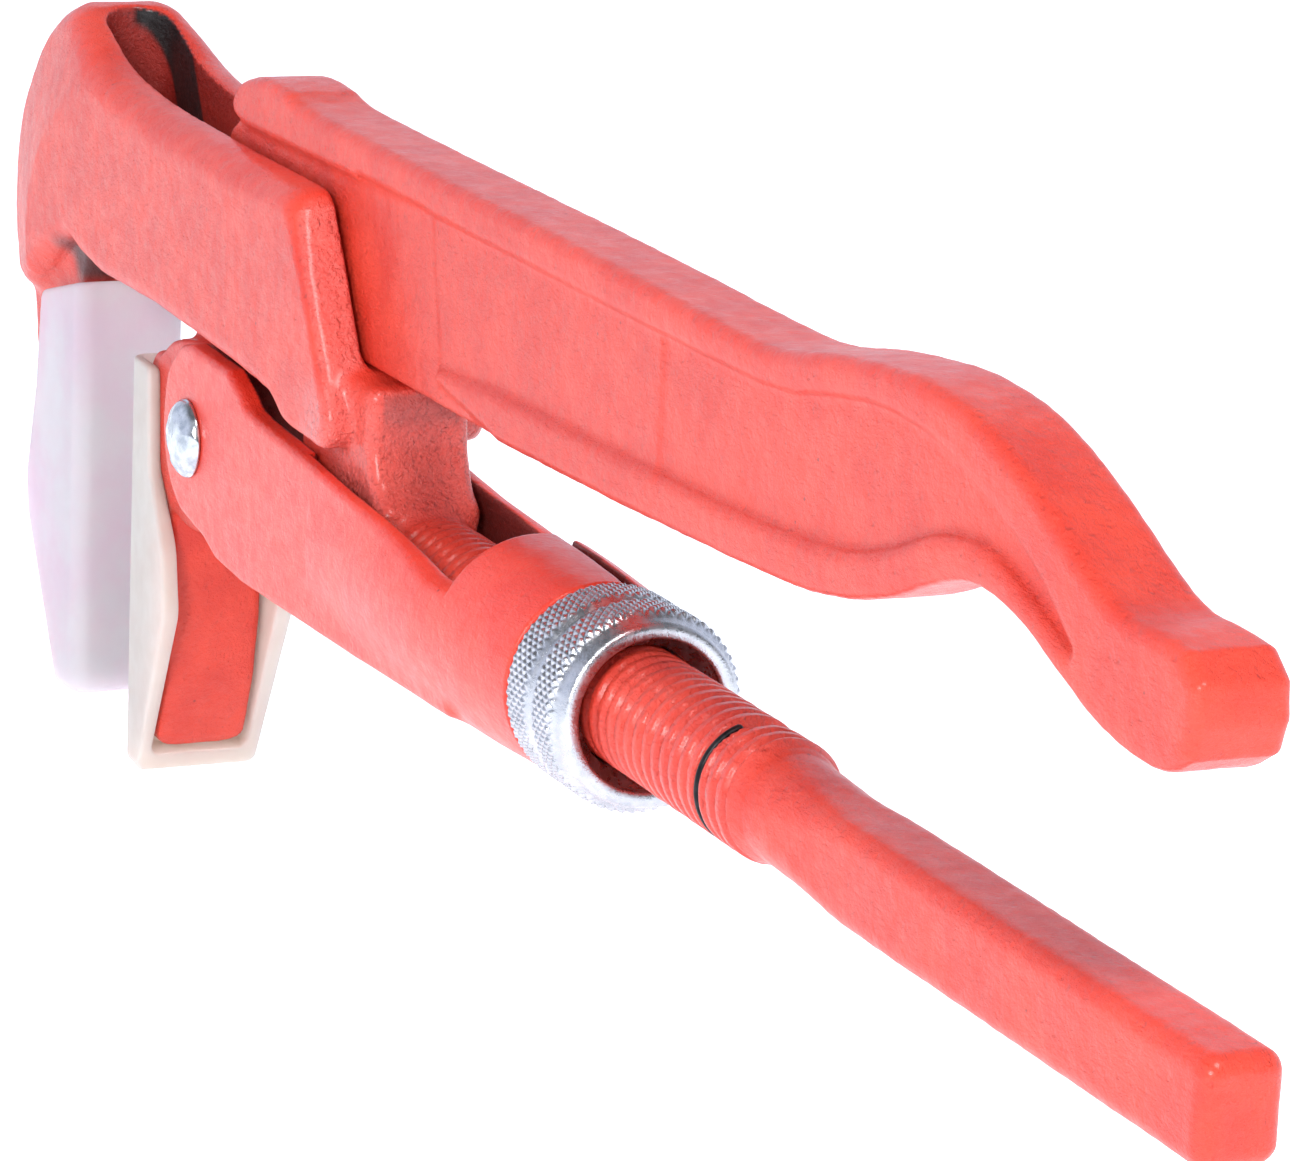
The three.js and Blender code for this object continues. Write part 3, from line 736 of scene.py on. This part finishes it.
def paint(name, pits, gloss):
    """Dip-coated forging: fine pits and rolling marks under a satin coral red coat.

    Three attributes mark where the coat is glossy and lumpy over a rough scale and gets a painted sheen,
    where the slot's walls get a painted shade, and where a near-black painted shade lies under the head and
    in the fork.
    """
    n = Nodes(name)
    pebble_and_sheen = n.attribute("pebble_and_sheen")
    painted_shade = n.attribute("painted_shade")
    painted_slot_shade = n.attribute("painted_slot_shade")
    tone = n.spread(n.noise(9.0, 4.0, 0.6), 0.35, 0.68)
    colour = n.mix(tone, PAINT_DEEP, PAINT_RED)
    speck = n.math("MULTIPLY", n.spread(n.voronoi(3.1)["Distance"], 0.05, 0.075, 1.0, 0.0),
                   n.spread(n.noise(7.0, 1.0), 0.56, 0.62))
    colour = n.mix(n.math("MULTIPLY", speck, 0.55), colour, PAINT_GRIT)
    # Painted shade on the slot's walls.
    colour = n.mix(painted_slot_shade, colour, PAINT_SLOT_SHADE)
    # Painted sheen where the coat is pebbled.
    colour = n.mix(n.math("MULTIPLY", pebble_and_sheen, 0.3), colour, PAINT_SHEEN)
    # Near-black painted shade under the head, inside the fork and down the slot's round end.
    colour = n.mix(painted_shade, colour, PAINT_SHADE_DARK)
    rolled = n.stretched(0.55, 1.0, 1.0)
    grain = n.noise(0.45, 4.0, 0.75, rolled)
    roll = n.noise(1.1, 3.0, 0.6, rolled)
    pit = n.spread(n.voronoi(1.5)["Distance"], 0.04, 0.3)
    satin = n.spread(n.noise(2.4, 4.0, 0.6), 0.3, 0.7, gloss + 0.10, gloss - 0.06)
    rough = n.math("SUBTRACT", satin, n.math("MULTIPLY", pebble_and_sheen, 0.2))
    normal = n.bump(roll, 0.36 * pits)
    normal = n.bump(pit, 0.12 * pits, 1.0, normal)
    normal = n.bump(grain, 0.42 * pits, 1.0, normal)
    lumps = n.math("MULTIPLY", n.spread(n.noise(0.9, 2.0, 0.5), 0.25, 0.75), pebble_and_sheen)
    normal = n.bump(lumps, 0.26, 1.0, normal)
    n.set(Base_Color=colour, Roughness=rough, Normal=normal)
    n.set(Specular_IOR_Level=0.5, Coat_Weight=0.35, Coat_Roughness=0.22)
    return n.material


def zinc(name):
    """Zinc plating: pale blue-grey metal with soft blotches and fine pits."""
    n = Nodes(name)
    tone = n.spread(n.noise(2.2, 4.0, 0.65), 0.32, 0.7)
    colour = n.mix(tone, (0.50, 0.52, 0.56), (0.66, 0.67, 0.71))
    rough = n.spread(n.noise(1.1, 4.0, 0.6), 0.3, 0.7, 0.2, 0.36)
    normal = n.bump(n.noise(0.45, 4.0, 0.65), 0.07, 0.8)
    n.set(Base_Color=colour, Roughness=rough, Normal=normal, Metallic=1.0)
    return n.material


def hammered(name):
    """Bright steel with the facets and scuffs of a riveting hammer."""
    n = Nodes(name)
    tone = n.spread(n.noise(2.2, 4.0, 0.55), 0.3, 0.7)
    colour = n.mix(tone, (0.36, 0.40, 0.45), (0.74, 0.77, 0.81))
    rough = n.spread(n.noise(1.2, 3.0, 0.5), 0.3, 0.7, 0.16, 0.3)
    facets = n.bump(n.voronoi(2.6, "SMOOTH_F1")["Distance"], 0.4, 0.6)
    normal = n.bump(n.noise(0.4, 3.0, 0.5), 0.02, 0.5, facets)
    n.set(Base_Color=colour, Roughness=rough, Normal=normal, Metallic=1.0)
    return n.material


def black_wire(name):
    """Oiled black spring wire with faint drawing lines."""
    n = Nodes(name)
    tone = n.spread(n.noise(1.2, 3.0), 0.35, 0.7)
    colour = n.mix(tone, (0.010, 0.010, 0.012), (0.035, 0.033, 0.036))
    rough = n.spread(n.noise(0.6, 3.0), 0.3, 0.7, 0.28, 0.45)
    normal = n.bump(n.noise(0.25, 3.0), 0.02, 0.5)
    n.set(Base_Color=colour, Roughness=rough, Normal=normal, Metallic=0.7)
    return n.material


def soft_plastic(name, clear, cloudy):
    """Translucent soft vinyl: cloudy, slightly waxy, with faint flow marks."""
    n = Nodes(name)
    cloud = n.spread(n.noise(11.0, 3.0, 0.5), 0.3, 0.7)
    colour = n.mix(cloud, clear, cloudy)
    rough = n.spread(n.noise(3.0, 3.0), 0.3, 0.7, 0.34, 0.5)
    flow = n.noise(2.2, 3.0, 0.5, n.stretched(1.0, 1.0, 0.25))
    normal = n.bump(flow, 0.10, 0.5)
    normal = n.bump(n.noise(0.5, 3.0), 0.02, 0.5, normal)
    n.set(Base_Color=colour, Roughness=rough, Normal=normal)
    n.set(Transmission_Weight=0.3, IOR=1.42, Subsurface_Weight=1.0)
    n.set(Subsurface_Radius=(0.006, 0.005, 0.005), Subsurface_Scale=1.0)
    return n.material


# ---- build ----

forged = paint("paint_forged", pits=1.0, gloss=0.42)
smooth_coat = paint("paint_sleeve", pits=0.55, gloss=0.36)
plated = zinc("zinc")
bright = hammered("bright_steel")
wire = black_wire("black_wire")
lilac = soft_plastic("cap_lilac", (0.97, 0.64, 0.77), (0.93, 0.78, 0.84))
milky = soft_plastic("cap_milky", (0.74, 0.62, 0.55), (0.79, 0.69, 0.61))


def marked(piece, name, strength):
    """Writes a value from 0 to 1 for each corner of the piece, from its place in the stem's frame."""
    mesh = piece.data
    flat = np.empty(len(mesh.vertices) * 3)
    mesh.vertices.foreach_get("co", flat)
    normals = np.empty(len(mesh.vertices) * 3)
    mesh.vertices.foreach_get("normal", normals)
    points = (flat.reshape(-1, 3) - np.array(ORIGIN)) / MM
    values = strength(points, normals.reshape(-1, 3))
    attribute = mesh.attributes.new(name, "FLOAT", "POINT")
    attribute.data.foreach_set("value", np.asarray(values, np.float32))


def hook_pebble_and_sheen(points, normals):
    """Where the coat is pebbled and gets a painted sheen: the slanted rear face of the head, the neck and the
    last turns of thread.
    """
    x, _, z = points.T
    slant = eased(normals[:, 0], 0.5, 0.75) * eased(x, -74, -72) * eased(-x, 50, 54)
    neck = 0.8 * eased(-x, 44, 50) * eased(x, -68, -60) * eased(-z, -21, -17)
    thread = 0.35 * eased(x, 10, 16) * eased(-x, -47, -44)
    return np.maximum(np.maximum(slant, neck), thread)


def in_slot(points, normals):
    """The walls of the head's slot."""
    x, y, z = points.T
    within = eased(-np.abs(y - SLOT_SHIFT), -SLOT_HALF - 0.3, -SLOT_HALF - 0.1)
    within = within * eased(x, SLOT_END - SLOT_HALF - 0.6, SLOT_END - SLOT_HALF - 0.3)
    return within * eased(-np.abs(normals[:, 2]), -0.55, -0.3) * eased(z, 15, 17)


def hook_painted_slot_shade(points, normals):
    """Painted shade on the slot's walls, darker towards its far end."""
    return in_slot(points, normals) * (0.6 + 0.3 * eased(-points[:, 0], 120, 152))


def hook_painted_shade(points, normals):
    """Near-black painted shade: a stripe down the slot's far wall near its round end, and a patch in the
    corner above the hook jaw.
    """
    x, y, z = points.T
    along = x + 0.6 * (z - 47)
    stripe = eased(along, -158.6, -157.8) * eased(-along, 147.6, 148.4) * eased(y, 0.3, 1.0)
    stripe = stripe * in_slot(points, normals)
    corner = np.hypot(x + 156.5, (z - 15) * 1.1)
    return np.maximum(stripe, 0.9 * eased(-corner, -5.0, -1.5))


def fork_painted_shade(points, normals):
    """Near-black painted shade on the inner walls of the fork, which lie in the shade of the head."""
    y = points[:, 1]
    inward = eased(-normals[:, 1] * np.sign(y), 0.25, 0.6)
    return 0.85 * inward * eased(-np.abs(y), -CHANNEL_HALF - 0.6, -CHANNEL_HALF - 0.2)


def lever_painted_shade(points, normals):
    """Near-black painted shade on the part of the lever between the cheeks, under the head."""
    x, _, z = points.T
    return 0.8 * eased(x, -111, -107) * eased(-x, 78, 84) * eased(-z, -23, -19) * eased(z, -6, 2)


def build():
    """Every piece, on its body and in place of its CAD node. The retainer stays the CAD's."""
    x_lines = np.concatenate([
        grid_lines(-186, -49, COARSE)[:-1],
        grid_lines(-49, 48, COARSE / 2)[:-1],
        grid_lines(48, 134, COARSE)])
    hook = forged_piece("hook_arm_forging", hook_field, x_lines, 11.5, -44, 49.5, COARSE, FORGED_WAVES,
                        body="arm", node="hook_arm", material=forged, slot="paint")
    # Where the coat is pebbled: glossier, lumpier, with a painted sheen.
    marked(hook, "pebble_and_sheen", hook_pebble_and_sheen)
    # Painted shade on the slot's walls, darker towards the far end.
    marked(hook, "painted_slot_shade", hook_painted_slot_shade)
    # Near-black painted shade in the slot's round end and the corner above the hook jaw.
    marked(hook, "painted_shade", hook_painted_shade)
    lever = forged_piece("lever_arm_forging", lever_field, grid_lines(-133, 129, COARSE), 7.5, -45, 50.5,
                         COARSE, FORGED_WAVES, body="lever", node="lever_arm", material=forged, slot="paint")
    # Near-black painted shade on the lever under the head.
    marked(lever, "painted_shade", lever_painted_shade)
    fork = forged_piece("fork_sleeve_forging", fork_field, grid_lines(-117, 1.5, FINE * 1.25), 12.5, -13,
                        16.5, FINE * 1.25, COATED_WAVES, body="sleeve", node="fork_sleeve",
                        material=smooth_coat, slot="paint")
    # Near-black painted shade on the fork's inner walls.
    marked(fork, "painted_shade", fork_painted_shade)
    for name, cap, node, body, material, slot in (
            ("hook_cap_skin", HOOK_CAP, "hook_jaw_cap", "hook_cap", lilac, "cap_lilac"),
            ("lever_cap_skin", MOVING_CAP, "moving_jaw_cap", "lever_cap", milky, "cap_milky")):
        x_values = [x for x, _ in cap["rim"]] + [cap["face"]]
        forged_piece(name, cap_field(cap), grid_lines(min(x_values) - 1, max(x_values) + 1, FINE), 10.5,
                     cap["bottom"] - 1, cap["top"] + 1, FINE, (), body=body, node=node, material=material,
                     slot=slot)
    for name, shape, node, body, material, slot in (
            ("nut_knurled", nut_shape, "adjusting_nut", "nut", plated, "zinc"),
            ("rivet_hammered", rivet_shape, "pivot_rivet", "sleeve", bright, "steel"),
            ("ring_wire", ring_shape, "stop_ring", "arm", wire, "black")):
        corners, faces = shape()
        new_piece(name, corners, faces, body, node, material, slot)
    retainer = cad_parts["nut_retainer"]
    retainer.data.materials.clear()
    retainer.data.materials.append(bright)


build()

# ---- floor, light and camera ----

FLOOR_HALF = 3.0
FLOOR_COLOUR = (0.86, 0.89, 0.95)
FLOOR_GLOW = (0.90, 0.95, 1.0)
WORLD_PALE = (0.90, 0.96, 1.15)
WORLD_DIM = (0.20, 0.20, 0.21)
LIGHT_AIM = (0, 0, 0.05)

# The camera's place from the stem's frame in mm, and its direction in degrees: azimuth from +X towards
# +Y, elevation, and roll about the line of sight.
CAMERA_PLACE = (460.2, -207.5, 141.1)
CAMERA_AZIMUTH = 155.1465
CAMERA_ELEVATION = -14.5233
CAMERA_ROLL = -2.5920
CAMERA_LENS = 139.3
CAMERA_SHIFT = (-0.0047, 0.0065)
# Turns a camera's axes so that it looks along +X with +Z up.
ALONG_X = Matrix(((0, 0, -1), (-1, 0, 0), (0, 1, 0)))


def white_floor():
    """A plain floor that glows faintly, so that it stays pale where the light falls off."""
    h = FLOOR_HALF
    mesh = bpy.data.meshes.new("floor")
    mesh.from_pydata([(-h, -h, 0), (h, -h, 0), (h, h, 0), (-h, h, 0)], [], [(0, 1, 2, 3)])
    floor = bpy.data.objects.new("floor", mesh)
    look = bpy.data.materials.new("floor")
    look.use_nodes = True
    shader = look.node_tree.nodes["Principled BSDF"]
    shader.inputs["Base Color"].default_value = (*FLOOR_COLOUR, 1)
    shader.inputs["Roughness"].default_value = 0.9
    shader.inputs["Emission Color"].default_value = (*FLOOR_GLOW, 1)
    shader.inputs["Emission Strength"].default_value = 0.75
    mesh.materials.append(look)
    bpy.context.scene.collection.objects.link(floor)


def world_ramp(tree, value, low, high):
    """A smooth step of the value, from 0 at low to 1 at high."""
    node = tree.nodes.new("ShaderNodeMapRange")
    node.interpolation_type = "SMOOTHSTEP"
    node.inputs["From Min"].default_value = low
    node.inputs["From Max"].default_value = high
    tree.links.new(value, node.inputs["Value"])
    return node.outputs[0]


def studio_world():
    """White to look at. As light it is pale and cool round the head, dim round the handles' ends and
    overhead."""
    world = bpy.context.scene.world or bpy.data.worlds.new("studio")
    bpy.context.scene.world = world
    world.use_nodes = True
    tree = world.node_tree
    direction = tree.nodes.new("ShaderNodeTexCoord")
    parts = tree.nodes.new("ShaderNodeSeparateXYZ")
    tree.links.new(direction.outputs["Generated"], parts.inputs[0])
    dim = tree.nodes.new("ShaderNodeMath")
    dim.operation = "MAXIMUM"
    tree.links.new(world_ramp(tree, parts.outputs["X"], -0.3, 0.7), dim.inputs[0])
    tree.links.new(world_ramp(tree, parts.outputs["Z"], 0.3, 0.85), dim.inputs[1])
    light = tree.nodes.new("ShaderNodeMix")
    light.data_type = "RGBA"
    light.inputs[6].default_value = (*WORLD_PALE, 1)
    light.inputs[7].default_value = (*WORLD_DIM, 1)
    tree.links.new(dim.outputs[0], light.inputs[0])
    path = tree.nodes.new("ShaderNodeLightPath")
    seen = tree.nodes.new("ShaderNodeMix")
    seen.data_type = "RGBA"
    seen.inputs[7].default_value = (1, 1, 1, 1)
    tree.links.new(path.outputs["Is Camera Ray"], seen.inputs[0])
    tree.links.new(light.outputs[2], seen.inputs[6])
    tree.links.new(seen.outputs[2], tree.nodes["Background"].inputs["Color"])


def soft_light(name, at, size, watts):
    """A round lamp of this size in metres, turned towards the part."""
    data = bpy.data.lights.new(name, "AREA")
    data.shape = "DISK"
    data.size = size
    data.energy = watts
    light = bpy.data.objects.new(name, data)
    light.location = at
    light.rotation_euler = (Vector(LIGHT_AIM) - Vector(at)).to_track_quat("-Z", "Y").to_euler()
    bpy.context.scene.collection.objects.link(light)


def main_camera():
    data = bpy.data.cameras.new("camera")
    data.sensor_width = 36
    data.lens = CAMERA_LENS
    data.shift_x, data.shift_y = CAMERA_SHIFT
    data.clip_start = 0.01
    camera = bpy.data.objects.new("camera", data)
    bpy.context.scene.collection.objects.link(camera)
    azimuth = Matrix.Rotation(math.radians(CAMERA_AZIMUTH), 3, "Z")
    elevation = Matrix.Rotation(math.radians(-CAMERA_ELEVATION), 3, "Y")
    roll = Matrix.Rotation(math.radians(CAMERA_ROLL), 3, "X")
    turn = azimuth @ elevation @ roll @ ALONG_X
    camera.matrix_world = Matrix.Translation(ORIGIN + Vector(CAMERA_PLACE) * MM) @ turn.to_4x4()
    bpy.context.scene.camera = camera


white_floor()
studio_world()
soft_light("key", (1.05, -0.85, 0.6), 0.42, 13)
soft_light("glint", (0.75, -0.02, 1.05), 0.45, 10)
main_camera()
bpy.context.scene.view_settings.view_transform = "Standard"
